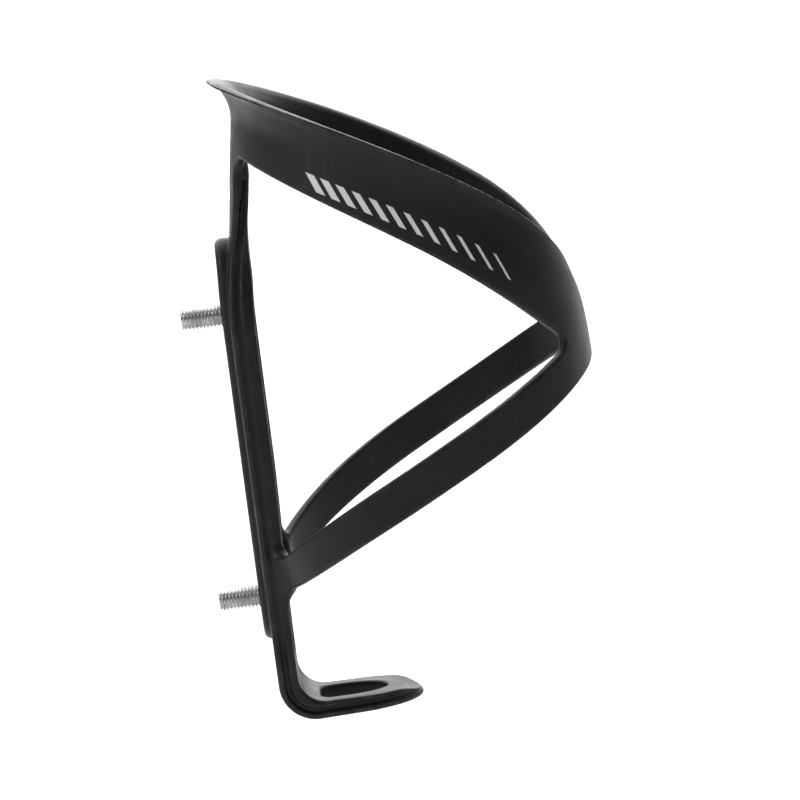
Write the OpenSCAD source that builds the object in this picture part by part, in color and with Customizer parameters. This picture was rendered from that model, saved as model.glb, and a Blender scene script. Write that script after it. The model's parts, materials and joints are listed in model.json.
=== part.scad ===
// Moulded bottle cage for a bicycle frame, with the two bolts and washers that hold it on.
// Millimetres. +Z runs up the tube, the frame is on the +Y side and the bottle on the -Y side.
// The origin is on the rear face of the mounting pad, midway between the two bolts.
// Side outlines are written as [forward, up], where forward is the distance in front of that face.

/* [Bottle] */
// Diameter of the bore that the ring and arms leave for the bottle
bore_d = 73.2; // [72.6:0.2:74]
// Distance from the rear face of the pad to the bottle axis
bottle_fwd = 41.8; // [41.4:0.1:42.2]

/* [Wall] */
// Thickness of the ring, nose and arms
wall_t = 2.2; // [1.8:0.1:2.6]
// Forward lean of the back of the ring, in degrees
back_lean = 8.4; // [7:0.2:9]
// Backward lean of the front of the ring, in degrees
front_lean = 11.1; // [10:0.1:12]
// Thickness of the lip round the top of the ring
lip_t = 1.8; // [1.4:0.1:2.4]
// How far the lip stands out at the sides
lip_out = 1.6; // [1.2:0.1:2]

/* [Spine] */
// Width of the spine beside the bolts
spine_w = 25; // [24:0.5:26]
// Width of the neck between the spine and the ring
neck_w = 17.5; // [16:0.5:19]
// Depth of the spine, front to back
spine_t = 5; // [4.8:0.1:5.4]
// Width of the channel down the front of the spine
channel_w = 19; // [15:0.5:19]
// Depth of that channel
channel_deep = 3.1; // [2.4:0.1:3.2]

/* [Mounting] */
// Distance between the two bolts
bolt_pitch = 64; // [64]
// How far the pad stands behind the spine
pad_t = 1.7; // [1.5:0.1:2]
// Width of the pad
pad_w = 15; // [13:0.5:17]
// Thickness of plastic under each washer
floor_t = 1.8; // [1.8:0.1:2.2]
// Width of the bolt holes
hole_w = 5.5; // [5.4:0.1:5.8]
// Height of the upper bolt hole, which is a slot
slot_h = 9; // [6:0.5:10]
// Diameter of the recess round each washer
recess_d = 10.8; // [10.6:0.1:11.4]

/* [Foot] */
// Distance from the rear face of the pad to the tip of the foot
foot_len = 34.4; // [32:0.2:36]
// Width of the foot where it leaves the spine
foot_w = 21; // [20:0.5:23]
// Width of the rail round the opening in the foot
foot_rail = 4.4; // [3.8:0.2:4.6]
// Length of the solid tip in front of the opening in the foot
foot_tip = 8.6; // [7:0.2:9.4]

/* [Fasteners] */
// Length of the bolt under its head
bolt_len = 12; // [10:1:14]
// Outer diameter of the washers
washer_d = 10; // [9:0.5:10]
// Thickness of the washers
washer_t = 1; // [0.8:0.1:1]
// Outer radius of the bolt's thread
bolt_r = 2.5; // [2.5]

/* [Hidden] */
$fn = 96;
far = 200;
through = 10;
r_in = bore_d / 2;
r_out = r_in + wall_t;
nose_fwd = bottle_fwd + r_out;
// Heights, all measured from the point midway between the bolts
rim_back_z = 84.4;
rim_front_z = 36.9;
nose_z = 12;
neck_z = 50;
neck_back_fwd = 4;
spine_bend_z = 34;
pad_top_z = 49;
pad_foot_z = -42;
spine_top_z = 68;
nose_low_z = nose_z + 1.6;
foot_top_z = -55.8;
heel_z = -60.5;
tip_under_z = -59.8;
below_z = heel_z - 1;
above_z = rim_back_z + 5;
// Forward places
lip_back_fwd = 3.4;
rim_front_fwd = 75.7;
behind_fwd = -10;
ahead_fwd = 95;
// How much larger than the bore the radii of the leaning back and front are
back_ease = 2.2;
front_ease = 3.2;
// Above this height the spine is no wider than the outside of the ring
trim_z = 60;
heel_r = 4.2;
inner_heel_r = 4;
// How far the pad reaches into the spine, so that its top end meets the leaning neck
pad_root = 2.6;
inner_heel_fwd = pad_t + spine_t + inner_heel_r;
opening_fwd = 12;
// M5 button head bolt. Under the head its thread runs out to the pitch diameter.
runout_r = 2.24;
head_r = 4.75;
head_h = 2.75;
head_top_r = 2.6;
head_edge_h = 0.8;
point_h = 0.5;
hex_af = 3;
hex_deep = 1.6;
washer_hole_r = 2.65;
ink_black = [0.11, 0.11, 0.115];
steel = [0.72, 0.72, 0.73];

function bezier(p, t) =
    pow(1 - t, 3) * p[0] + 3 * pow(1 - t, 2) * t * p[1] + 3 * (1 - t) * t * t * p[2] + pow(t, 3) * p[3];
function curve(p, steps = 14) = [for (i = [0:steps]) bezier(p, i / steps)];
function reversed(list) = [for (i = [len(list) - 1:-1:0]) list[i]];
function last(list) = list[len(list) - 1];
function arc(centre, r, from, to, steps = 8) =
    [for (i = [0:steps]) centre + r * [cos(from + (to - from) * i / steps), sin(from + (to - from) * i / steps)]];

// Edges of the ring and arms in side view
rim_edge = curve([[lip_back_fwd, rim_back_z], [27.8, 74.4], [70.5, 53.2], [rim_front_fwd, rim_front_z]]);
band_edge = curve([[10.3, 66.4], [29.7, 53.7], [50.5, 42.9], [67.6, 25.9]]);
arm_top_edge = curve([[68.2, 15.2], [43.8, 0.2], [22.6, -6.4], [5.4, -22.6]]);
arm_low_edge = curve([[77.6, 12.4], [57.3, -3.5], [25.6, -14.1], [5.9, -30.6]]);
window_nose = arc([68.3, 20.7], 4, 60, -55);

// Side outline of the thickened roots that tie the arms to the spine
arm_root_edge = [[pad_t, -36], [5, -36], [9, -31], [9, -21], [5, -16], [pad_t, -16]];

// Extrudes a side outline across the width of the cage
module side_solid(points, width = far) {
    rotate([90, 0, -90])
        linear_extrude(height = width, center = true)
            polygon(points);
}

// Extrudes an outline seen from the front, [across, up], from one forward place to another
module front_solid(points, from_fwd, to_fwd) {
    translate([0, -from_fwd, 0])
        rotate([90, 0, 0])
            linear_extrude(height = to_fwd - from_fwd)
                polygon(points);
}

// Round bar whose axis crosses [forward, up] and leans forward at the top by lean degrees
module leaning_bar(r, at, lean) {
    translate([0, -at[0], at[1]])
        rotate([lean, 0, 0])
            cylinder(r = r, h = 2 * far, center = true);
}

// The space inside a surface of radius r that narrows upwards at the back and the front.
// The leaning surfaces are flatter than the upright one, so they cut only its back and its front.
module ring_space(r) {
    back_r = r_out + back_ease;
    front_r = r_out + front_ease;
    intersection() {
        leaning_bar(r, [bottle_fwd, 0], 0);
        leaning_bar(r + back_ease, [neck_back_fwd + back_r / cos(back_lean), neck_z], back_lean);
        leaning_bar(r + front_ease, [nose_fwd - front_r / cos(front_lean), nose_z], -front_lean);
    }
}

// Ring, nose and arms: one wall round the bottle, cut to its side outline
module wrap() {
    outline = concat(
        [[behind_fwd, above_z]],
        rim_edge,
        [[ahead_fwd, rim_front_z], [ahead_fwd, nose_low_z], [nose_fwd, nose_low_z]],
        arm_low_edge,
        [[behind_fwd, last(arm_low_edge).y]]
    );
    window = concat(
        [[behind_fwd, band_edge[0].y]],
        band_edge,
        window_nose,
        arm_top_edge,
        [[behind_fwd, last(arm_top_edge).y]]
    );
    difference() {
        intersection() {
            ring_space(r_out);
            side_solid(outline);
        }
        ring_space(r_in);
        side_solid(window);
    }
}

// Lip that stands out round the top of the ring and dies away at the front
module lip() {
    r_lip = r_out + lip_out;
    front_r = r_lip + front_ease;
    upright_t = lip_t * 1.2;
    strip = concat(
        [[behind_fwd, above_z]],
        rim_edge,
        [for (p = reversed(rim_edge)) p - [0, upright_t]],
        [[behind_fwd, above_z - upright_t]]
    );
    difference() {
        intersection() {
            leaning_bar(r_lip, [lip_back_fwd + r_lip, 0], 0);
            leaning_bar(front_r, [nose_fwd - front_r / cos(front_lean), nose_z], -front_lean);
            side_solid(strip);
        }
        ring_space(r_in);
    }
}

// Outline of the spine from the front: wide beside the bolts, a neck above, flaring into the ring
module spine_outline_solid() {
    half_w = spine_w / 2;
    half_neck = neck_w / 2;
    half_foot = foot_w / 2;
    right = concat(
        curve([[half_foot, below_z], [half_foot, heel_z + 8], [half_w, heel_z + 8], [half_w, pad_foot_z]], 8),
        curve([[half_w, spine_bend_z - 8], [half_w, spine_bend_z + 4], [half_neck, 42], [half_neck, 52]], 8),
        curve([[half_neck, 59], [half_neck, 63], [half_neck + 2, 66], [half_neck + 7, spine_top_z]], 6)
    );
    left = [for (p = reversed(right)) [-p[0], p[1]]];
    front_solid(concat(right, left), behind_fwd, far);
}

// Side outline of the spine, from the ring down to the heel and along the foot
module spine_side_solid() {
    back_fwd = pad_t;
    front_fwd = pad_t + spine_t;
    slope = tan(back_lean);
    top_back_fwd = neck_back_fwd + (spine_top_z - neck_z) * slope;
    bend_back_z = neck_z - (neck_back_fwd - back_fwd) / slope;
    side_solid(concat(
        [[top_back_fwd, spine_top_z], [back_fwd, bend_back_z]],
        arc([back_fwd + heel_r, heel_z + heel_r], heel_r, 180, 270),
        [[foot_len, tip_under_z], [foot_len, foot_top_z]],
        arc([front_fwd + inner_heel_r, foot_top_z + inner_heel_r], inner_heel_r, 270, 180),
        [[front_fwd, bend_back_z], [top_back_fwd + spine_t, spine_top_z]]
    ));
}

// Plan of the foot from one forward place to its tip: nearly straight sides and a rounded end
module foot_plan(half_w, from_fwd, tip_fwd) {
    straight_fwd = tip_fwd - 1.5 * half_w;
    side = curve([[half_w, -straight_fwd], [half_w, -tip_fwd + 4], [half_w / 2, -tip_fwd], [0, -tip_fwd]], 10);
    polygon(concat(
        [[half_w, -from_fwd]],
        side,
        [for (p = reversed(side)) [-p[0], p[1]]],
        [[-half_w, -from_fwd]]
    ));
}

// Thickened roots that tie the arms to the edges of the spine
module arm_roots() {
    difference() {
        side_solid(arm_root_edge, spine_w);
        ring_space(r_in);
    }
}

// Spine and foot, with the opening in the foot
module spine_and_foot() {
    intersection() {
        spine_side_solid();
        union() {
            ring_space(r_out);
            side_solid([[-far, -far], [far, -far], [far, trim_z], [-far, trim_z]]);
        }
        union() {
            intersection() {
                spine_outline_solid();
                side_solid([
                    [behind_fwd, below_z],
                    [inner_heel_fwd, below_z],
                    [2 * inner_heel_fwd, above_z],
                    [behind_fwd, above_z]
                ]);
            }
            translate([0, 0, below_z])
                linear_extrude(height = through)
                    difference() {
                        foot_plan(foot_w / 2, behind_fwd, foot_len);
                        foot_plan(foot_w / 2 - foot_rail, opening_fwd, foot_len - foot_tip);
                    }
        }
    }
}

// Upright slot with round ends, cut from one forward place to another
module upright_slot(width, top_z, bottom_z, from_fwd, to_fwd) {
    r = width / 2;
    translate([0, -from_fwd, 0])
        rotate([90, 0, 0])
            linear_extrude(height = to_fwd - from_fwd)
                union() {
                    translate([0, top_z - r])
                        circle(r = r);
                    translate([0, bottom_z + r])
                        circle(r = r);
                    translate([-r, bottom_z + r])
                        square([width, top_z - bottom_z - width]);
                }
}

// The one-piece moulding
module cage_body() {
    color(ink_black)
        difference() {
            union() {
                wrap();
                lip();
                spine_and_foot();
                arm_roots();
                upright_slot(pad_w, pad_top_z, pad_foot_z, 0, pad_t + pad_root);
            }
            upright_slot(
                channel_w, spine_bend_z + 9, foot_top_z + 8, pad_t + spine_t - channel_deep, opening_fwd
            );
            for (side = [-1, 1])
                translate([0, 0, side * bolt_pitch / 2])
                    rotate([90, 0, 0])
                        translate([0, 0, floor_t])
                            cylinder(d = recess_d, h = through);
            upright_slot(hole_w, (bolt_pitch + slot_h) / 2, (bolt_pitch - slot_h) / 2, -1, through);
            translate([0, 1, -bolt_pitch / 2])
                rotate([90, 0, 0])
                    cylinder(d = hole_w, h = through);
        }
}

// Button head bolt at its seated place, with its shank towards the frame
module bolt(z) {
    seat_fwd = floor_t + washer_t;
    color(steel)
        translate([0, -seat_fwd, z])
            rotate([90, 0, 0])
                difference() {
                    union() {
                        translate([0, 0, -bolt_len])
                            cylinder(r1 = runout_r, r2 = bolt_r, h = point_h);
                        translate([0, 0, point_h - bolt_len])
                            cylinder(r = bolt_r, h = bolt_len - point_h - seat_fwd);
                        translate([0, 0, -seat_fwd])
                            cylinder(r = runout_r, h = seat_fwd);
                        cylinder(r = head_r, h = head_edge_h);
                        translate([0, 0, head_edge_h])
                            cylinder(r1 = head_r, r2 = head_top_r, h = head_h - head_edge_h);
                    }
                    translate([0, 0, head_h - hex_deep])
                        cylinder(d = hex_af / cos(30), h = hex_deep + 1, $fn = 6);
                }
}

// Flat washer under the bolt head
module washer(z) {
    color(steel)
        translate([0, -floor_t, z])
            rotate([90, 0, 0])
                difference() {
                    cylinder(d = washer_d, h = washer_t);
                    translate([0, 0, -1])
                        cylinder(r = washer_hole_r, h = washer_t + 2);
                }
}

module upper_bolt() { bolt(bolt_pitch / 2); }
module upper_washer() { washer(bolt_pitch / 2); }
module lower_bolt() { bolt(-bolt_pitch / 2); }
module lower_washer() { washer(-bolt_pitch / 2); }

cage_body();
upper_bolt();
upper_washer();
lower_bolt();
lower_washer();
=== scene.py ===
"""Looks of the moulded bottle cage, its bolts and its washers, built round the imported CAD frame.

The moulding is one closed mesh, taken from a distance field. The field works in millimetres, in
side-view terms: x across, f forward of the pad's rear face, z up. Blender's y is -f.
"""

import json
import math

import bmesh
import bpy
import numpy as np
from mathutils import Matrix, Vector


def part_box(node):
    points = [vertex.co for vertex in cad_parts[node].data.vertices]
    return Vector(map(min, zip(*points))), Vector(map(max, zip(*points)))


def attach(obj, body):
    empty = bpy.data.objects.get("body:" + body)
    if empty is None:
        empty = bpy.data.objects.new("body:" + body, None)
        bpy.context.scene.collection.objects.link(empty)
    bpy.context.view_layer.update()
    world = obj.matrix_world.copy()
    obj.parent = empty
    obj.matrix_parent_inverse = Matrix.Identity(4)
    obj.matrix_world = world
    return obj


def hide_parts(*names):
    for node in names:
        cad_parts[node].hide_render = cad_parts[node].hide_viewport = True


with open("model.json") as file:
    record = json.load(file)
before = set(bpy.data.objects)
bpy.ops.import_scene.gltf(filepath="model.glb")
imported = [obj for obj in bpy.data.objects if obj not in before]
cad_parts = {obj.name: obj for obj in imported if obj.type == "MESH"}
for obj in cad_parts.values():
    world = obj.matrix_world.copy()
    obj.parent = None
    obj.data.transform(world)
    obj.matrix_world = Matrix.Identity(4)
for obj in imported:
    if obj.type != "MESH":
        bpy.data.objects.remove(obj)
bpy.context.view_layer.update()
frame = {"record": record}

# ---------------------------------------------------------------- driving sizes, millimetres
MM = 0.001
mounts = {m["name"]: m for m in frame["record"]["mounts"]}
seat = mounts["bottle_seat"]
AXIS_F = -seat["pos_m"][1] / MM
BORE_R = seat["dims"]["r_mm"]
BOLT_Z = mounts["frame_bolts"]["dims"]["pcd_mm"] / 2

# Wall round the bottle: upright at the sides, leaning in at the back and, above the nose, in front
WALL = 2.2
WALL_EDGE_R = 0.75
MID_R = BORE_R + WALL / 2
NOSE_F = AXIS_F + BORE_R + WALL
NOSE_Z = 12
BACK_LEAN = math.tan(math.radians(8.4))
FRONT_LEAN = math.tan(math.radians(11.1))
# How much larger the radii of the leaning back and front are than the upright wall's
BACK_EASE = 2.2
FRONT_EASE = 3.2
# How far the back's circle moves out in front, so that only the back follows it
BACK_CLEAR = 14
# Fullness of the front between the nose and the rim
NOSE_BULGE = 1.3
BULGE_Z = 26
BULGE_H = 13
# Powers of the superellipse that squares the front corners, at the arms and at the rim
SQUARE = 2.9
RIM_SQUARE = 3.7

# Flared lip: how far it reaches out, how far down it begins, and the small edge on it
LIP_SIDE = 2.0
LIP_BACK = 3.0
LIP_H = 10
LIP_EDGE = 0.9
LIP_EDGE_H = 2.4
LIP_EDGE_HALF = 0.6

# Edges of the ring and arms in side view, as Bezier control points [f, z]
RIM = [(3.2, 84.6), (27.8, 74.2), (70.0, 53.6), (75.9, 37.2)]
BAND_LOW = [(10.3, 66.4), (29.7, 53.7), (50.5, 42.9), (67.6, 25.9)]
ARM_TOP = [(68.2, 15.5), (43.8, 0.4), (22.6, -6.2), (6.3, -22.4)]
ARM_LOW = [(77.8, 12.5), (57.3, -3.5), (25.6, -14.1), (5.9, -30.6)]
# Angles either side of the front and of the back where an edge bends level
FRONT_ARC = 0.35
BACK_ARC = 0.25
WINDOW_R = 4.2

# Spine, with the strip of the wall that runs into it, and its side groove
NECK_F = 4.0
NECK_Z = 50
SPINE_T = 4.55
SPINE_HALF = 12.5
SPINE_TOP = 71
NECK_HALF = 8.75
STRIP_Z = 63
STRIP_HALF_H = 11
GROOVE_IN = 2.1
GROOVE_HALF = 0.62
GROOVE_DEEP = 0.85
GROOVE_TOP = 62

# Foot, with its opening
FOOT_TOP = -55.9
HEEL_Z = -60.15
HEEL_R = 8.6
INNER_HEEL_R = 6.2
FOOT_HALF = 10.5
FOOT_LEN = 33.9
FOOT_RAIL = 4.6
FOOT_TIP = 8.0
OPENING_F = 10.8
OPENING_TOP = -50
OPENING_R = 2.6
TIP_F = 26.5
TIP_DROP = 1.5
TIP_RISE = 0.9

# Mounting pad, channel, and the holes and recesses of the bolts
PAD_F = 1.7
PAD_ROOT = 2.6
PAD_HALF = 7.5
PAD_TOP = 49
PAD_LOW = -42
RAIL = 3
CHANNEL_Z = -2
CHANNEL_HALF_H = 45.5
CHANNEL_R = 3.5
FLOOR_T = 1.8
CUT_F = 12
RECESS_R = 5.4
HOLE_R = 2.75
SLOT_H = 9


# ---------------------------------------------------------------- field helpers
# A distance that puts a shape well clear of the moulding
FAR = 50


def smoothstep(low, high, x):
    t = np.clip((x - low) / (high - low), 0, 1)
    return t * t * (3 - 2 * t)


def ramp(x, soft):
    """x where x is positive and 0 where it isn't, with the corner rounded over about soft."""
    return 0.5 * (x + np.sqrt(x * x + soft * soft))


def both(a, b, r):
    """What lies inside a and inside b, with an edge of radius r where they meet."""
    return np.minimum(np.maximum(a, b), -r) + np.hypot(np.maximum(a + r, 0), np.maximum(b + r, 0))


def either(a, b, r):
    """What lies inside a or inside b, with a fillet of radius r where they meet."""
    return -both(-a, -b, r)


def without(a, b, r):
    """What lies inside a but not inside b, with an edge of radius r."""
    return both(a, -b, r)


def soft_min(a, b, soft):
    h = np.maximum(soft - np.abs(a - b), 0) / soft
    return np.minimum(a, b) - h * h * soft / 4


def upright_slot(x, z, top, low, r):
    """Distance in the x-z plane from an upright slot with round ends."""
    middle = (top + low) / 2
    half = (top - low) / 2 - r
    return np.hypot(x, np.maximum(np.abs(z - middle) - half, 0)) - r


# ---------------------------------------------------------------- the wall round the bottle
def section_radius(cos_t, sin_t, shift, r):
    """Distance from the bottle axis to a circle of radius r whose centre lies shift in front of it."""
    return shift * cos_t + np.sqrt(np.maximum(r * r - (shift * sin_t) ** 2, 1))


def wall_radius(t, z):
    """Middle of the wall before its flare, as a distance from the bottle axis."""
    cos_t, sin_t = np.cos(t), np.sin(t)
    back = NECK_F + WALL / 2 + (z - NECK_Z) * BACK_LEAN
    bulge = NOSE_BULGE * np.exp(-(((z - BULGE_Z) / BULGE_H) ** 2))
    front = NOSE_F - WALL / 2 - (z - NOSE_Z) * FRONT_LEAN + bulge
    back_r, front_r = MID_R + BACK_EASE, MID_R + FRONT_EASE
    behind = section_radius(cos_t, sin_t, back + back_r - AXIS_F, back_r)
    behind = behind + BACK_CLEAR * smoothstep(0, 0.7, cos_t)
    before = section_radius(cos_t, sin_t, front - front_r - AXIS_F, front_r)
    power = SQUARE + (RIM_SQUARE - SQUARE) * smoothstep(25, 50, z)
    square = (np.abs(cos_t) ** power + np.abs(sin_t) ** power) ** (-1 / power)
    square = 1 + (square - 1) * smoothstep(-0.05, 0.2, cos_t)
    return soft_min(soft_min(MID_R * square, behind, 2.5), before * square + 0.4, 1.6)


def lip_reach(t):
    """How far the flare carries the top edge outwards: most at the back, none at the front."""
    cos_t = np.cos(t)
    return LIP_SIDE * smoothstep(0.86, 0.3, cos_t) + LIP_BACK * np.maximum(-cos_t, 0) ** 1.5


def bezier(points, steps=60):
    p = np.array(points, float)
    t = np.linspace(0, 1, steps + 1)[:, None]
    u = 1 - t
    return u**3 * p[0] + 3 * u**2 * t * p[1] + 3 * u * t * t * p[2] + t**3 * p[3]


def level_end(grid, heights, start):
    """Bends the first part of an edge, up to start, into a curve that is level where it begins."""
    at_start, after = np.interp([start, start + 0.04], grid, heights)
    bent = at_start + (after - at_start) / 0.04 * (grid**2 - start**2) / (2 * start)
    return np.where(grid < start, bent, heights)


def edge_table(outline, reach=None):
    """A side-view edge as z by angle round the bottle, level in front and at the back.

    The angle of each point of the outline is found by halving, where the wall has the point's f.
    """
    f, z = outline[:, 0], outline[:, 1]
    low, high = np.zeros(len(f)), np.full(len(f), math.pi)
    for _ in range(40):
        t = (low + high) / 2
        r = wall_radius(t, z) + (reach(t) if reach else 0)
        ahead = AXIS_F + r * np.cos(t) > f
        low, high = np.where(ahead, t, low), np.where(ahead, high, t)
    reached = (t > 0.001) & (t < math.pi - 0.001)
    order = np.argsort(t[reached])
    t, z = t[reached][order], z[reached][order]
    grid = np.linspace(0, math.pi, 721)
    heights = level_end(grid, np.interp(grid, t, z), max(FRONT_ARC, t[0] + 0.03))
    back = level_end(grid, heights[::-1], max(BACK_ARC, math.pi - t[-1] + 0.03))
    heights = back[::-1]
    return grid, heights, np.gradient(heights, grid)


rim_edge = edge_table(bezier(RIM), lambda t: lip_reach(t) + LIP_EDGE_HALF)
band_edge = edge_table(bezier(BAND_LOW))
arm_top_edge = edge_table(bezier(ARM_TOP))
arm_low_edge = edge_table(bezier(ARM_LOW))


def above(edge, t, z, r):
    """Distance above an edge, measured along the wall, positive above it."""
    grid, heights, slopes = edge
    slope = np.interp(t, grid, slopes) / r
    return (z - np.interp(t, grid, heights)) / np.sqrt(1 + slope * slope)


def flare(t, z):
    """Outward shift of the wall under the rim: a trumpet with a small lip at its edge."""
    drop = np.interp(t, rim_edge[0], rim_edge[1]) - z
    trumpet = np.clip(1 - drop / LIP_H, 0, 1.1) ** 2.4
    edge = np.clip(1 - drop / LIP_EDGE_H, 0, 1.1) ** 2
    return lip_reach(t) * trumpet + LIP_EDGE * smoothstep(0.9, 0.5, np.cos(t)) * edge


def wall_middle(t, z):
    return wall_radius(t, z) + flare(t, z)


def spine_half(z):
    """Half width of the spine: wide beside the bolts, narrower at the neck and at the heel."""
    neck = (SPINE_HALF - NECK_HALF) * smoothstep(28, 46, z)
    heel = (FOOT_HALF - SPINE_HALF) * smoothstep(-44, -57, z)
    return SPINE_HALF - neck + heel


def wall(x, f, z):
    """Ring, nose and arms, and the strip of wall that runs down inside the spine."""
    t = np.arctan2(x, f - AXIS_F)
    r = np.hypot(x, f - AXIS_F)
    step = 0.3
    middle = wall_middle(t, z)
    rise = (wall_middle(t, z + step) - wall_middle(t, z - step)) / (2 * step)
    turn = (wall_middle(t + step / MID_R, z) - wall_middle(t - step / MID_R, z)) / (2 * step)
    through = np.abs(r - middle) / np.sqrt(1 + rise**2 + turn**2)
    near_rim = smoothstep(6, 0.5, np.interp(t, rim_edge[0], rim_edge[1]) - z)
    in_neck = smoothstep(-0.93, -0.97, np.cos(t)) * smoothstep(61, 53, z) * smoothstep(20, 40, z)
    thickness = WALL - (0.5 * near_rim + 2.0 * in_neck)
    window = both(above(band_edge, t, z, MID_R), -above(arm_top_edge, t, z, MID_R), WINDOW_R)
    outline = without(-above(arm_low_edge, t, z, MID_R), window, 0.1)
    strip = both(x - spine_half(z), np.abs(z - STRIP_Z) - STRIP_HALF_H, 1)
    strip = np.where(f < AXIS_F, strip, FAR)
    outline = either(outline, strip, 5)
    outline = np.maximum(outline, above(rim_edge, t, z, MID_R))
    return both(through - thickness / 2, outline, WALL_EDGE_R)


# ---------------------------------------------------------------- spine, pad and foot
def spine_back(x, z):
    """Rear face of the spine: upright beside the bolts, leaning above, round where it joins the ring."""
    lean = BACK_LEAN * ramp(z - (NECK_Z - (NECK_F - PAD_F) / BACK_LEAN), 4)
    return PAD_F + lean + smoothstep(40, 58, z) * x * x / (2 * MID_R)


def foot_edge(x, f, inset):
    """Distance outside the plan of the foot, shrunk by inset all round."""
    half = FOOT_HALF - inset
    straight = FOOT_LEN - 1.35 * FOOT_HALF
    length = FOOT_LEN - straight - inset
    g = np.maximum(f - straight, 0)
    q = np.hypot(x / half, g / length)
    size = np.maximum(np.hypot(x / half**2, g / length**2), 1e-6)
    return np.where(f > straight, q * (q - 1) / size, x - half)


def spine_and_foot(x, f, z):
    """The slab bent into spine and foot: full beside the bolts, thin in the neck, lost in the ring."""
    back = spine_back(x, z)
    under = HEEL_Z + TIP_RISE * np.clip((f - PAD_F) / (FOOT_LEN - PAD_F), 0, 1)
    depth = both(back - f, under - z, HEEL_R)
    back = back + 0.5 * smoothstep(60, 70, z)
    thick = SPINE_T + 0.9 * smoothstep(-45, 0, z) - 2.0 * smoothstep(36, 54, z)
    thick = thick - 2.2 * smoothstep(61, SPINE_TOP, z)
    tip_drop = TIP_DROP * smoothstep(TIP_F, FOOT_LEN, f) ** 2
    inner = either(f - back - thick, z - FOOT_TOP + tip_drop, INNER_HEEL_R)
    slab = both(both(depth, inner, 0.8), z - SPINE_TOP, 0.8)
    low = smoothstep(-50, -57, z)
    side = (1 - low) * (x - spine_half(z)) + low * foot_edge(x, f, 0)
    solid = both(slab, side, 0.9)
    groove_deep = GROOVE_DEEP - 0.6 * smoothstep(-44, -38, z) * smoothstep(52, 44, z)
    groove_deep = groove_deep - 0.5 * smoothstep(20, 33, f)
    groove = both(np.abs(-depth - GROOVE_IN) - GROOVE_HALF, -side - groove_deep, 0.3)
    groove = both(groove, z - GROOVE_TOP, 0.5)
    solid = without(solid, groove, 0.35)
    outside_opening = foot_edge(x, f + FOOT_TIP - FOOT_RAIL, FOOT_RAIL)
    opening = both(outside_opening, OPENING_F - f, OPENING_R)
    opening = np.maximum(opening, z - OPENING_TOP)
    return without(solid, opening, 0.9)


def pad(x, f, z):
    """The raised strip that sits on the frame, with its top end eased off."""
    outline = upright_slot(x, z, PAD_TOP, PAD_LOW, PAD_HALF)
    rear = 0.4 * smoothstep(34, 46, z) - f
    return both(outline, np.maximum(rear, f - PAD_F - PAD_ROOT), 1.5)


def channel(x, f, z):
    """The trough down the front of the spine, between its two rails."""
    half = spine_half(z) - RAIL
    side = both(x - half, np.abs(z - CHANNEL_Z) - CHANNEL_HALF_H, CHANNEL_R)
    bottom = PAD_F + 1.9 - f + BACK_LEAN * ramp(z - 34, 4)
    return np.maximum(np.maximum(side, bottom), f - CUT_F)


def bolt_holes(x, f, z):
    """Slotted upper hole, round lower hole, and the round recess of each washer."""
    slot_top, slot_low = BOLT_Z + SLOT_H / 2, BOLT_Z - SLOT_H / 2
    slot = upright_slot(x, z, slot_top, slot_low, HOLE_R)
    hole = np.hypot(x, z + BOLT_Z) - HOLE_R
    recess = np.hypot(x, np.abs(z) - BOLT_Z) - RECESS_R
    recess = both(np.maximum(recess, f - CUT_F), FLOOR_T - f, 0.3)
    return np.minimum(np.maximum(np.minimum(slot, hole), f - CUT_F), recess)


def moulding(x, f, z):
    """Distance in millimetres to the surface of the whole moulding, negative inside it."""
    x = np.abs(x)
    body = either(wall(x, f, z), spine_and_foot(x, f, z), 4.0 - 3.8 * smoothstep(-5, 25, z))
    body = either(body, pad(x, f, z), 0.7)
    body = without(body, channel(x, f, z), 0.7)
    return without(body, bolt_holes(x, f, z), 0.4)


# ---------------------------------------------------------------- mesh from a field
def field_at(field, points, chunk=300000):
    out = np.empty(len(points))
    for i in range(0, len(points), chunk):
        p = points[i : i + chunk]
        out[i : i + chunk] = field(p[:, 0], p[:, 1], p[:, 2])
    return out


def slope_at(field, points, step=0.04):
    slope = np.empty_like(points)
    for axis in range(3):
        shift = np.zeros(3)
        shift[axis] = step
        slope[:, axis] = (field_at(field, points + shift) - field_at(field, points - shift)) / (2 * step)
    return slope


def settle(field, points, rounds):
    """Moves points onto the surface of the field."""
    for _ in range(rounds):
        slope = slope_at(field, points)
        square = np.maximum((slope**2).sum(1), 0.05)
        move = np.clip(field_at(field, points) / square, -0.5, 0.5)
        points = points - slope * move[:, None]
    return points


def grid_values(field, low, cell, count, block=6):
    """The field on a grid, worked out only in the blocks that the surface may cross."""
    blocks = -(-count // block)
    middles = np.stack(np.meshgrid(*[np.arange(b) for b in blocks], indexing="ij"), -1).reshape(-1, 3)
    centre = field_at(field, low + (middles + 0.5) * block * cell).reshape(blocks)
    near = np.abs(centre) < block * cell + 0.8
    for axis in range(3):
        near = np.repeat(near, block, axis)
        centre = np.repeat(centre, block, axis)
    near = near[tuple(slice(0, c) for c in count)]
    values = centre[tuple(slice(0, c) for c in count)].copy()
    grown = near.copy()
    for axis in range(3):
        ahead, behind = [slice(None)] * 3, [slice(None)] * 3
        ahead[axis], behind[axis] = slice(1, None), slice(0, -1)
        grown[tuple(ahead)] |= grown[tuple(behind)].copy()
    index = np.argwhere(grown)
    values[grown] = field_at(field, low + index * cell)
    return values


CORNERS = np.array([(i, j, k) for i in (0, 1) for j in (0, 1) for k in (0, 1)])
CORNER_PAIRS = [(a, b) for a in range(8) for b in range(a + 1, 8)]
CELL_EDGES = [(a, b) for a, b in CORNER_PAIRS if np.abs(CORNERS[a] - CORNERS[b]).sum() == 1]


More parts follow.
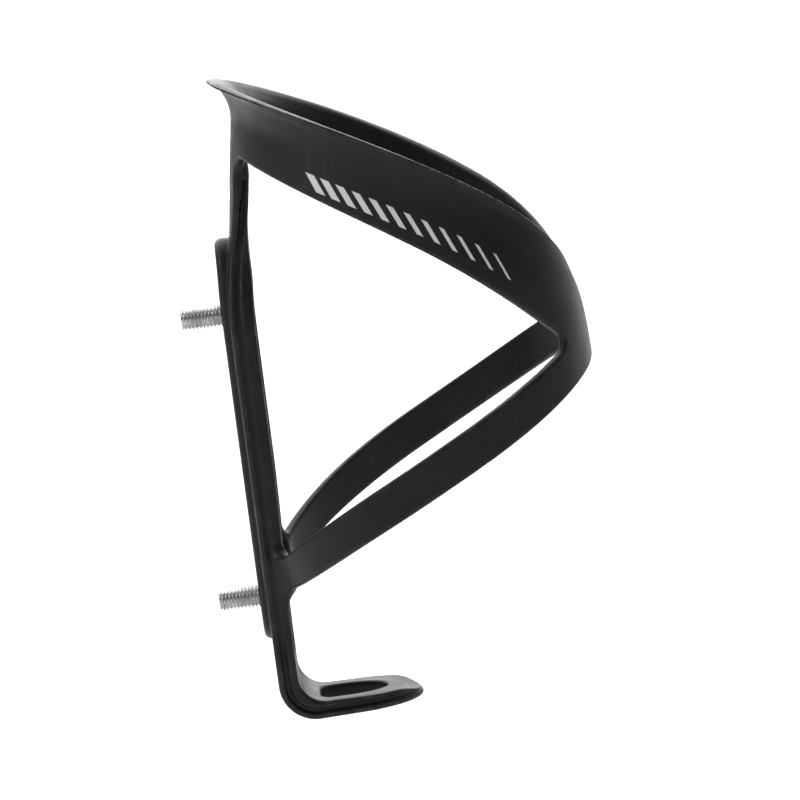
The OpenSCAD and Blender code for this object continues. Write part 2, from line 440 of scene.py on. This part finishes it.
def surface_net(values, low, cell):
    """Vertices and quads of the zero surface of a grid of values."""
    inside = values < 0
    cells = tuple(n - 1 for n in values.shape)
    total = np.zeros(cells, np.int8)
    for i, j, k in CORNERS:
        total += inside[i : i + cells[0], j : j + cells[1], k : k + cells[2]]
    where = np.argwhere((total > 0) & (total < 8))
    corner = np.stack([values[tuple((where + c).T)] for c in CORNERS], 1)
    spot, hits = np.zeros((len(where), 3)), np.zeros(len(where))
    for a, b in CELL_EDGES:
        va, vb = corner[:, a], corner[:, b]
        cut = (va < 0) != (vb < 0)
        share = np.where(cut, va / np.where(cut, va - vb, 1), 0)
        spot += np.where(cut[:, None], CORNERS[a] + share[:, None] * (CORNERS[b] - CORNERS[a]), 0)
        hits += cut
    points = low + (where + spot / hits[:, None]) * cell
    number = np.full(cells, -1, np.int64)
    number[tuple(where.T)] = np.arange(len(where))
    quads = []
    for axis in range(3):
        u, v = [a for a in range(3) if a != axis]
        near, far = [slice(1, -1)] * 3, [slice(1, -1)] * 3
        near[axis], far[axis] = slice(0, -1), slice(1, None)
        a, b = inside[tuple(near)], inside[tuple(far)]
        for flip, crossing in ((axis == 1, a & ~b), (axis != 1, b & ~a)):
            at = np.argwhere(crossing)
            at[:, u] += 1
            at[:, v] += 1
            ring = []
            for du, dv in ((-1, -1), (0, -1), (0, 0), (-1, 0)):
                c = at.copy()
                c[:, u] += du
                c[:, v] += dv
                ring.append(number[tuple(c.T)])
            quad = np.stack(ring, 1)
            quads.append(quad[:, ::-1] if flip else quad)
    return points, np.vstack(quads)


def relax(field, points, quads, rounds):
    """Evens out the spacing of the points along the surface."""
    a = np.concatenate([quads[:, i] for i in range(4)])
    b = np.concatenate([quads[:, (i + 1) % 4] for i in range(4)])
    n = len(points)
    count = np.bincount(a, minlength=n) + np.bincount(b, minlength=n)
    for _ in range(rounds):
        total = np.zeros_like(points)
        for k in range(3):
            total[:, k] = np.bincount(a, points[b, k], n) + np.bincount(b, points[a, k], n)
        slope = slope_at(field, points)
        slope /= np.maximum(np.linalg.norm(slope, axis=1), 1e-6)[:, None]
        move = total / count[:, None] - points
        move -= (move * slope).sum(1)[:, None] * slope
        points = settle(field, points + 0.6 * move, 1)
    return points


def to_frame(points):
    """Field coordinates in millimetres to Blender's, in metres."""
    return points * np.array([1, -1, 1]) * MM


def new_mesh(name, vertices, faces):
    mesh = bpy.data.meshes.new(name)
    mesh.from_pydata(vertices, [], faces)
    mesh.validate()
    mesh.update()
    piece = bpy.data.objects.new(name, mesh)
    bpy.context.scene.collection.objects.link(piece)
    return piece


def shade_smooth(piece):
    piece.data.polygons.foreach_set("use_smooth", np.ones(len(piece.data.polygons), bool))


def apply_modifiers(piece):
    shaped = bpy.data.meshes.new_from_object(piece.evaluated_get(bpy.context.evaluated_depsgraph_get()))
    old = piece.data
    piece.modifiers.clear()
    piece.data = shaped
    bpy.data.meshes.remove(old)


def add_values(piece, name, values):
    """One number for each vertex, which a material reads by name."""
    piece.data.attributes.new(name, "FLOAT", "POINT").data.foreach_set("value", values.astype(np.float32))


def edge_sharpness(points, step=0.6):
    """0 on flat and hollow places, and up to 1 on outer edges, where hands and bottles rub."""
    total = -6 * field_at(moulding, points)
    for axis in range(3):
        shift = np.zeros(3)
        shift[axis] = step
        total += field_at(moulding, points + shift) + field_at(moulding, points - shift)
    return np.clip(total / step**2 / 1.6, 0, 1)


# Printed stripe on the left of the band: where it starts, and how it drifts off the band's edge
STRIPE_START = math.radians(115.5)
STRIPE_DRIFT = 0.045
STRIPE_LOWEST = 20


def stripe_place(points):
    """Place along and across the printed stripe, in mm, on the outside of the left of the band."""
    x, f, z = points.T
    t = np.arctan2(np.abs(x), f - AXIS_F)
    outside = np.hypot(x, f - AXIS_F) - wall_middle(t, z)
    along = (STRIPE_START - t) * MID_R
    across = above(band_edge, t, z, MID_R) - STRIPE_DRIFT * along
    away = (x > 0) | (outside < 0.3) | (z < STRIPE_LOWEST)
    return np.where(away, -FAR, along), np.where(away, -FAR, across)


CELL = 0.5
MOST_TRIANGLES = 190000


def build_moulding():
    """The one-piece cage as a closed mesh with its shading and wear worked out from the field."""
    cell = CELL
    low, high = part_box("cage_body")
    margin = 3 * cell
    start = np.array([low.x, -high.y, low.z]) / MM - margin
    end = np.array([high.x, -low.y, high.z]) / MM + margin
    count = np.ceil((end - start) / cell).astype(int) + 1
    values = grid_values(moulding, start, cell, count)
    points, quads = surface_net(values, start, cell)
    points = settle(moulding, points, 2)
    points = relax(moulding, points, quads, 3)
    points = settle(moulding, points, 1)
    piece = new_mesh("moulded_cage", to_frame(points).tolist(), quads[:, ::-1].tolist())
    if 2 * len(quads) > MOST_TRIANGLES:
        thin = piece.modifiers.new("thin", "DECIMATE")
        thin.ratio = MOST_TRIANGLES / (2 * len(quads))
        apply_modifiers(piece)
    shade_smooth(piece)
    flat = np.empty(len(piece.data.vertices) * 3)
    piece.data.vertices.foreach_get("co", flat)
    points = flat.reshape(-1, 3) / MM * np.array([1, -1, 1])
    add_values(piece, "edge", edge_sharpness(points))
    along, across = stripe_place(points)
    add_values(piece, "stripe_along", along)
    add_values(piece, "stripe_across", across)
    normals = slope_at(moulding, points, 0.12) * np.array([1, -1, 1])
    normals /= np.maximum(np.linalg.norm(normals, axis=1), 1e-6)[:, None]
    piece.data.normals_split_custom_set_from_vertices(normals.tolist())
    return piece


# ---------------------------------------------------------------- bolts and washers
# M5 button head bolt: head, hexagon socket and thread, which grows to its full depth over RUN_OUT
BOLT_HEAD = 2.75
HEAD_R = 4.75
DOME_FLAT_R = 2.45
DOME_H = 2.2
THREAD_R = 2.5
ROOT_R = 2.07
PITCH = 0.8
HEX_HALF = 1.5
HEX_DEEP = 1.6
RUN_OUT = 2.8
# Plain washer, with the edge that the punch rolled over
WASHER_R = 5.0
WASHER_HOLE = 2.65
WASHER_MID = 4.0
WASHER_ROLL = 0.22
# Points round each turned piece, and the bend in degrees from which an edge stays sharp
TURN = 60
SHARP_ANGLE = 38


def lathe(name, centre_z, rings, close_ring=False):
    """Closed piece round the Y axis at centre_z, from rings of (y, radius) in mm, one value per angle."""
    angles = np.linspace(0, 2 * math.pi, TURN, endpoint=False)
    vertices, faces = [], []
    for y, radius in rings:
        y, radius = np.broadcast_to(y, TURN), np.broadcast_to(radius, TURN)
        for a, height, r in zip(angles, y, radius):
            vertices.append((r * math.cos(a) * MM, height * MM, centre_z + r * math.sin(a) * MM))
    pairs = list(zip(range(len(rings) - 1), range(1, len(rings))))
    if close_ring:
        pairs.append((len(rings) - 1, 0))
    for a, b in pairs:
        for i in range(TURN):
            j = (i + 1) % TURN
            faces.append((a * TURN + i, a * TURN + j, b * TURN + j, b * TURN + i))
    if not close_ring:
        for ring, height in ((0, rings[0][0]), (len(rings) - 1, rings[-1][0])):
            middle = len(vertices)
            vertices.append((0, float(np.mean(height)) * MM, centre_z))
            loop = [(ring * TURN + i, ring * TURN + (i + 1) % TURN) for i in range(TURN)]
            faces += [(middle, b, a) if ring == 0 else (middle, a, b) for a, b in loop]
    piece = new_mesh(name, vertices, faces)
    shade_smooth(piece)
    return piece


def keep_sharp(piece, degrees):
    """Splits the shading at edges that turn by more than the given angle."""
    mesh = piece.data
    sharp = bmesh.new()
    sharp.from_mesh(mesh)
    bmesh.ops.recalc_face_normals(sharp, faces=sharp.faces)
    for edge in sharp.edges:
        edge.smooth = edge.calc_face_angle(0) < math.radians(degrees)
    sharp.to_mesh(mesh)
    sharp.free()


def bolt_rings(head_y):
    """Button head with a hexagon socket, then the thread, from the socket's floor to the point."""
    angles = np.linspace(0, 2 * math.pi, TURN, endpoint=False)
    sixth = math.pi / 3
    hexagon = HEX_HALF / np.cos((angles + sixth / 2) % sixth - sixth / 2)
    floor_y = head_y + HEX_DEEP
    rings = [(floor_y + 0.25, 0.5), (floor_y, hexagon * 0.94), (floor_y - 0.1, hexagon)]
    rings += [(head_y + 0.3, hexagon), (head_y + 0.16, np.maximum(hexagon, 1.6))]
    rings += [(head_y, 1.86), (head_y, 2.3)]
    for a in np.linspace(0, math.pi / 2, 10):
        radius = DOME_FLAT_R + (HEAD_R - DOME_FLAT_R) * math.sin(a)
        rings.append((head_y + DOME_H * (1 - math.cos(a)), radius))
    seat_y = head_y + BOLT_HEAD
    rings += [(seat_y - 0.12, HEAD_R), (seat_y, HEAD_R - 0.12), (seat_y, 3.1)]
    rings += [(seat_y, THREAD_R), (seat_y + 0.18, 2.3)]
    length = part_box("upper_bolt")[1].y / MM - seat_y
    for along in np.arange(0.3, length, PITCH / 10):
        phase = (along / PITCH + angles / (2 * math.pi)) % 1
        flank = np.clip((np.abs(phase * 2 - 1) - 0.16) / 0.62, 0, 1)
        grown = smoothstep(0.3, RUN_OUT, along)
        middle = (THREAD_R + ROOT_R) / 2
        radius = middle + (THREAD_R - middle) * grown - (THREAD_R - ROOT_R) * flank * grown
        radius = np.minimum(radius, ROOT_R + (length - along) * 0.8)
        rings.append((seat_y + along, radius))
    rings.append((seat_y + length, ROOT_R - 0.15))
    return rings


def washer_rings(front_y, back_y):
    """Punched washer: rolled over on the side of the punch, nearly square on the other."""
    rings = []
    for a in np.linspace(math.pi / 2, 0, 5):
        down, back = WASHER_ROLL * (1 - math.sin(a)), WASHER_ROLL * (1 - math.cos(a))
        rings.append((front_y + down, WASHER_R - back))
    rings += [(back_y - 0.06, WASHER_R), (back_y, WASHER_R - 0.05), (back_y, WASHER_MID)]
    rings += [(back_y, WASHER_HOLE + 0.08), (back_y - 0.08, WASHER_HOLE)]
    rings += [(front_y + 0.15, WASHER_HOLE), (front_y, WASHER_HOLE + 0.15), (front_y, WASHER_MID)]
    return rings


def bolt_axis(node):
    low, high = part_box(node)
    return (low.z + high.z) / 2


def build_fasteners(side):
    """The upper or lower bolt and its washer, on the axes and seats of their CAD nodes."""
    bolt_node, washer_node = side + "_bolt", side + "_washer"
    head_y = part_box(bolt_node)[0].y / MM
    bolt = lathe(side + "_button_bolt", bolt_axis(bolt_node), bolt_rings(head_y))
    keep_sharp(bolt, SHARP_ANGLE)
    low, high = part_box(washer_node)
    rings = washer_rings(low.y / MM, high.y / MM)
    washer = lathe(side + "_flat_washer", bolt_axis(washer_node), rings, close_ring=True)
    keep_sharp(washer, SHARP_ANGLE)
    for piece, node, slot in ((bolt, bolt_node, "bolts"), (washer, washer_node, "washers")):
        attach(piece, node)
        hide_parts(node)
    return bolt, washer


# ---------------------------------------------------------------- materials
class Look:
    """A node material under construction."""

    def __init__(self, name):
        self.material = bpy.data.materials.new(name)
        self.material.use_nodes = True
        self.tree = self.material.node_tree
        self.shader = self.tree.nodes["Principled BSDF"]
        coords = self.tree.nodes.new("ShaderNodeTexCoord")
        self.place = coords.outputs["Object"]

    def put(self, socket, value):
        if isinstance(value, bpy.types.NodeSocket):
            self.tree.links.new(value, socket)
        else:
            socket.default_value = value

    def math(self, kind, a, b=0.0, clamp=False):
        node = self.tree.nodes.new("ShaderNodeMath")
        node.operation = kind
        node.use_clamp = clamp
        self.put(node.inputs[0], a)
        self.put(node.inputs[1], b)
        return node.outputs[0]

    def stretch(self, scale):
        node = self.tree.nodes.new("ShaderNodeMapping")
        self.put(node.inputs["Vector"], self.place)
        node.inputs["Scale"].default_value = scale
        return node.outputs[0]

    def noise(self, scale, detail=3.0, rough=0.5, at=None):
        node = self.tree.nodes.new("ShaderNodeTexNoise")
        self.put(node.inputs["Vector"], at or self.place)
        node.inputs["Scale"].default_value = scale
        node.inputs["Detail"].default_value = detail
        node.inputs["Roughness"].default_value = rough
        return node.outputs["Fac"]

    def span(self, value, from_low, from_high, to_low, to_high):
        node = self.tree.nodes.new("ShaderNodeMapRange")
        node.interpolation_type = "SMOOTHSTEP"
        self.put(node.inputs[0], value)
        for socket, number in zip(list(node.inputs)[1:5], (from_low, from_high, to_low, to_high)):
            self.put(socket, number)
        return node.outputs[0]

    def mix(self, share, a, b):
        node = self.tree.nodes.new("ShaderNodeMix")
        node.data_type = "RGBA"
        self.put(node.inputs["Factor"], share)
        self.put(node.inputs[6], a)
        self.put(node.inputs[7], b)
        return node.outputs[2]

    def attribute(self, name):
        node = self.tree.nodes.new("ShaderNodeAttribute")
        node.attribute_name = name
        return node.outputs["Fac"]

    def bump(self, height, distance, strength=1.0, under=None):
        node = self.tree.nodes.new("ShaderNodeBump")
        node.inputs["Strength"].default_value = strength
        node.inputs["Distance"].default_value = distance
        self.put(node.inputs["Height"], height)
        if under:
            self.put(node.inputs["Normal"], under)
        return node.outputs[0]

    def finish(self, colour, roughness, normal):
        self.put(self.shader.inputs["Base Color"], colour)
        self.put(self.shader.inputs["Roughness"], roughness)
        self.put(self.shader.inputs["Normal"], normal)
        return self.material


def grey(level, warm=0.0):
    return (level * (1 + warm), level, level * (1 - warm), 1)


def nylon():
    """Black glass-filled nylon: satin, finely grained, paler and smoother where it is rubbed."""
    look = Look("black_nylon")
    look.shader.inputs["Specular IOR Level"].default_value = 0.14
    cloud = look.noise(45, 3)
    grain = look.noise(1500, 2, 0.6)
    fine = look.noise(4200, 2, 0.6)
    drag = look.noise(1.0, 4, 0.65, look.stretch((1300, 1300, 45)))
    rubbed = look.math("MULTIPLY", look.span(drag, 0.56, 0.7, 0, 1), look.span(cloud, 0.4, 0.65, 0.1, 1))
    patches = look.span(look.noise(260, 4, 0.65), 0.42, 0.68, 0.15, 1)
    worn = look.math("MULTIPLY", look.attribute("edge"), patches)
    colour = look.mix(look.span(cloud, 0.3, 0.7, 0, 1), grey(0.006), grey(0.0095, 0.02))
    specks = look.math("MULTIPLY", look.span(grain, 0.55, 0.8, 0, 1), 0.5)
    colour = look.mix(specks, colour, grey(0.016, 0.02))
    colour = look.mix(look.math("MULTIPLY", rubbed, 0.35), colour, grey(0.03, 0.01))
    colour = look.mix(look.math("MULTIPLY", worn, 0.5), colour, grey(0.034, 0.01))
    along, across = look.attribute("stripe_along"), look.attribute("stripe_across")
    ink = stripe_ink(look, along, across, look.noise(900, 3, 0.7))
    colour = look.mix(ink, colour, grey(0.46))
    rough = look.span(look.noise(120, 4, 0.6), 0.3, 0.7, 0.40, 0.50)
    rough = look.math("ADD", rough, look.math("MULTIPLY", look.math("SUBTRACT", grain, 0.5), 0.16))
    rough = look.math("SUBTRACT", rough, look.math("MULTIPLY", worn, 0.09))
    rough = look.math("SUBTRACT", rough, look.math("MULTIPLY", rubbed, 0.06))
    flow = look.bump(look.noise(55, 2), 0.00022, 0.35)
    texture = look.math("ADD", grain, look.math("MULTIPLY", fine, 0.6))
    skin = look.bump(texture, 0.00004, 0.42, flow)
    return look.finish(colour, rough, skin)


def stripe_ink(look, along, across, flaw):
    """Printed trim: a row of slanted bars that shorten towards the front. 1 where there is ink."""
    bar_pitch, slant, bars = 3.4, 0.7, 12
    lean = look.math("DIVIDE", look.math("ADD", along, look.math("MULTIPLY", across, slant)), bar_pitch)
    number = look.math("FLOOR", lean)
    cell = look.math("FRACT", lean)
    width = look.math("SUBTRACT", 0.66, look.math("MULTIPLY", number, 0.46 / bars))
    bar = look.span(look.math("SUBTRACT", width, cell), 0.0, 0.05, 0, 1)
    bar = look.math("MULTIPLY", bar, look.span(cell, 0.0, 0.05, 0, 1))
    low = look.span(across, 1.8, 1.95, 0, 1)
    high = look.span(across, 4.9, 5.05, 1, 0)
    first = look.math("GREATER_THAN", number, -0.5)
    last = look.math("LESS_THAN", number, bars - 0.5)
    ends = look.math("MULTIPLY", first, last)
    ink = look.math("MULTIPLY", look.math("MULTIPLY", bar, ends), look.math("MULTIPLY", low, high))
    return look.math("MULTIPLY", ink, look.span(flaw, 0.28, 0.4, 0.55, 0.95))


def steel(name, level, turned):
    """Plain stainless steel with fine tool marks, a little grey film in places."""
    look = Look(name)
    look.shader.inputs["Metallic"].default_value = 1.0
    film = look.noise(420, 4, 0.6)
    marks = look.noise(1.0, 3, 0.6, look.stretch(turned))
    colour = look.mix(look.span(film, 0.35, 0.7, 0, 1), grey(level, 0.012), grey(level * 0.72, 0.02))
    scored = look.math("MULTIPLY", look.span(marks, 0.45, 0.7, 0, 1), 0.3)
    colour = look.mix(scored, colour, grey(level * 0.55))
    rough = look.math("ADD", look.span(film, 0.3, 0.7, 0.24, 0.4), look.math("MULTIPLY", marks, 0.1))
    return look.finish(colour, rough, look.bump(marks, 0.00002, 0.5, look.bump(film, 0.00003, 0.3)))


def paper(level):
    """Pale seamless studio floor."""
    look = Look("studio_paper")
    tone = look.mix(look.noise(3, 3), grey(level), grey(level * 0.97))
    rough = look.span(look.noise(40, 3), 0.3, 0.7, 0.8, 0.95)
    return look.finish(tone, rough, look.bump(look.noise(900, 3), 0.0001, 0.2))


# ---------------------------------------------------------------- stage, lights and camera
CAMERA_AZIMUTH = 269.0
CAMERA_ELEVATION = 8.2
CAMERA_ROLL = 7.35
CAMERA_DISTANCE = 0.85
FRAME_WIDTH = 0.1789
SENSOR = 0.036
TARGET = Vector((0, -0.0369, 0.0078))
FLOOR_Z = HEEL_Z * MM - 0.06
FLOOR_SIZE = 60


def towards(azimuth, elevation):
    """Direction from the object to a viewer at the given azimuth and elevation, in degrees."""
    a, e = math.radians(azimuth), math.radians(elevation)
    return Vector((math.sin(a) * math.cos(e), -math.cos(a) * math.cos(e), math.sin(e)))


def aim(thing, target, roll=0):
    turn = (target - thing.location).to_track_quat("-Z", "Y").to_matrix().to_4x4()
    turn = turn @ Matrix.Rotation(math.radians(roll), 4, "Z")
    thing.rotation_euler = turn.to_euler()


def add_camera():
    data = bpy.data.cameras.new("camera")
    data.sensor_width = SENSOR / MM
    data.lens = SENSOR * CAMERA_DISTANCE / FRAME_WIDTH / MM
    data.clip_start = 0.01
    data.clip_end = 60
    camera = bpy.data.objects.new("camera", data)
    bpy.context.scene.collection.objects.link(camera)
    camera.location = TARGET + CAMERA_DISTANCE * towards(CAMERA_AZIMUTH, CAMERA_ELEVATION)
    aim(camera, TARGET, -CAMERA_ROLL)
    bpy.context.scene.camera = camera


def add_light(name, azimuth, elevation, distance, size, watts):
    data = bpy.data.lights.new(name, "AREA")
    data.shape = "RECTANGLE"
    data.size, data.size_y = size
    data.energy = watts
    light = bpy.data.objects.new(name, data)
    bpy.context.scene.collection.objects.link(light)
    light.location = TARGET + distance * towards(azimuth, elevation)
    light.visible_camera = False
    aim(light, TARGET)


def add_sky_panel(name, azimuth, elevation, across, strength):
    """Round soft light so far off that it lights the whole floor evenly, across degrees wide."""
    data = bpy.data.lights.new(name, "SUN")
    data.angle = math.radians(across)
    data.energy = strength
    light = bpy.data.objects.new(name, data)
    bpy.context.scene.collection.objects.link(light)
    light.location = TARGET + towards(azimuth, elevation)
    aim(light, TARGET)


def add_world(level):
    world = bpy.data.worlds.new("studio")
    world.use_nodes = True
    background = world.node_tree.nodes["Background"]
    background.inputs["Color"].default_value = (1, 1, 1, 1)
    background.inputs["Strength"].default_value = level
    bpy.context.scene.world = world


def add_floor():
    half = FLOOR_SIZE / 2
    corners = [(x, y, FLOOR_Z) for x, y in ((-half, -half), (half, -half), (half, half), (-half, half))]
    floor = new_mesh("studio_floor", corners, [(0, 1, 2, 3)])
    floor.data.materials.append(paper(0.84))


# ---------------------------------------------------------------- the scene
moulded = build_moulding()
moulded.data.materials.append(nylon())
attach(moulded, "cage")
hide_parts("cage_body")

bolt_steel = steel("bolt_steel", 0.56, (900, 4000, 900))
washer_steel = steel("washer_steel", 0.6, (2500, 600, 500))
for side in ("upper", "lower"):
    bolt, washer = build_fasteners(side)
    bolt.data.materials.append(bolt_steel)
    washer.data.materials.append(washer_steel)

add_floor()
add_camera()
add_sky_panel("overhead_panel", 86, 50, 95, 6.0)
add_light("back_softbox", 205, 30, 2.6, (0.9, 1.6), 36)
add_world(0.16)
bpy.context.scene.view_settings.view_transform = "Standard"
